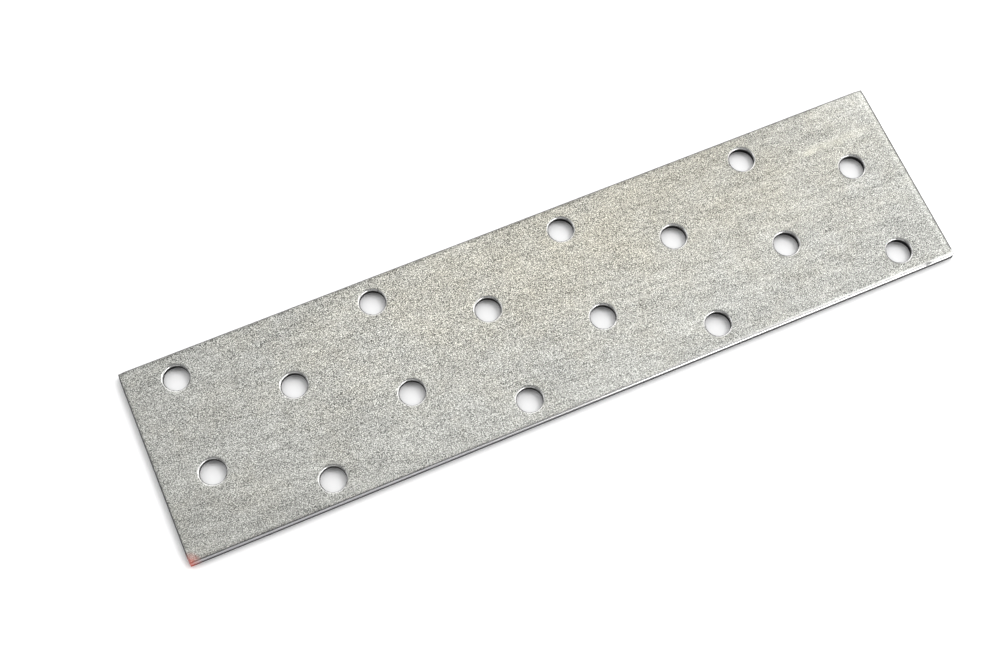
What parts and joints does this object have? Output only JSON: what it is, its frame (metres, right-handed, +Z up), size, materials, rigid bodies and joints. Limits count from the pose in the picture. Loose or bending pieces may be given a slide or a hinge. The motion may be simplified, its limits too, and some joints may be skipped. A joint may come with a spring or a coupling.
{
  "type": "mending plate",
  "caption": "Flat rectangular galvanised steel joining plate with a staggered field of punched nail holes.",
  "frame": {"origin": "centre of the underside, midway between the long edges and the two ends", "axes": "+X along the plate's length, +Y across its width, +Z up through the sheet, to the face the nail heads bear on"},
  "size_m": [0.16, 0.04, 0.002],
  "materials": {
    "galvanised_steel": "hot-dip galvanised sheet, fine matt grain with faint streaks along the rolling direction"
  },
  "bodies": {
    "root": {"mending_plate": "galvanised_steel"}
  },
  "joints": []
}
